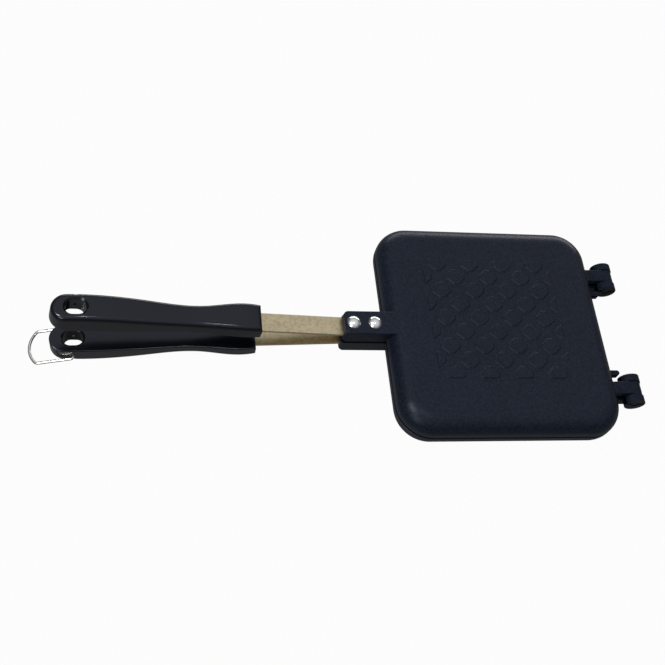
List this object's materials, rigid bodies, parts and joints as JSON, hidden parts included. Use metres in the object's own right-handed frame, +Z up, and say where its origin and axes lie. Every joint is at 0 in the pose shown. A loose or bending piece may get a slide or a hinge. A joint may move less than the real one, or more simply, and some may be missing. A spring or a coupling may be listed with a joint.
{
  "type": "pie iron",
  "caption": "Hinged square double-pan toasted-sandwich iron with spring-strip handles, moulded grips and a wire bail that latches them together.",
  "frame": {"origin": "middle of the lower pan, on the plane of its underside's pads", "axes": "+X from the grips to the hinge, +Y across, +Z up through the closed pans"},
  "size_m": [0.3701, 0.14, 0.0542],
  "materials": {
    "nonstick_coat": "dark satin non-stick coating on die-cast aluminium",
    "spring_steel": "rolled stainless strip, champagne tint",
    "rivet_aluminium": "bright dome heads",
    "grip_phenolic": "glossy black moulded phenolic",
    "bail_wire": "bright drawn wire",
    "hinge_pin": "plain steel"
  },
  "bodies": {
    "lower_half": {"lower_pan": "nonstick_coat", "lower_strip": "spring_steel", "lower_grip": "grip_phenolic", "lower_rivet_outer": "rivet_aluminium", "lower_rivet_inner": "rivet_aluminium", "hinge_pin_near": "hinge_pin", "hinge_pin_far": "hinge_pin"},
    "upper_half": {"upper_pan": "nonstick_coat", "upper_strip": "spring_steel", "upper_grip": "grip_phenolic", "upper_rivet_outer": "rivet_aluminium", "upper_rivet_inner": "rivet_aluminium"},
    "bail": {"bail": "bail_wire"}
  },
  "joints": [
    {"name": "pan_hinge", "type": "hinge", "parent": "lower_half", "child": "upper_half", "pos_m": [0.0833, 0, 0.0141], "axis": [0, 1, 0], "range_deg": [0, 180]},
    {"name": "bail_swing", "type": "hinge", "parent": "lower_half", "child": "bail", "pos_m": [-0.25417, 0, -0.00531], "axis": [0, 1, 0], "range_deg": [-146, 160]}
  ]
}
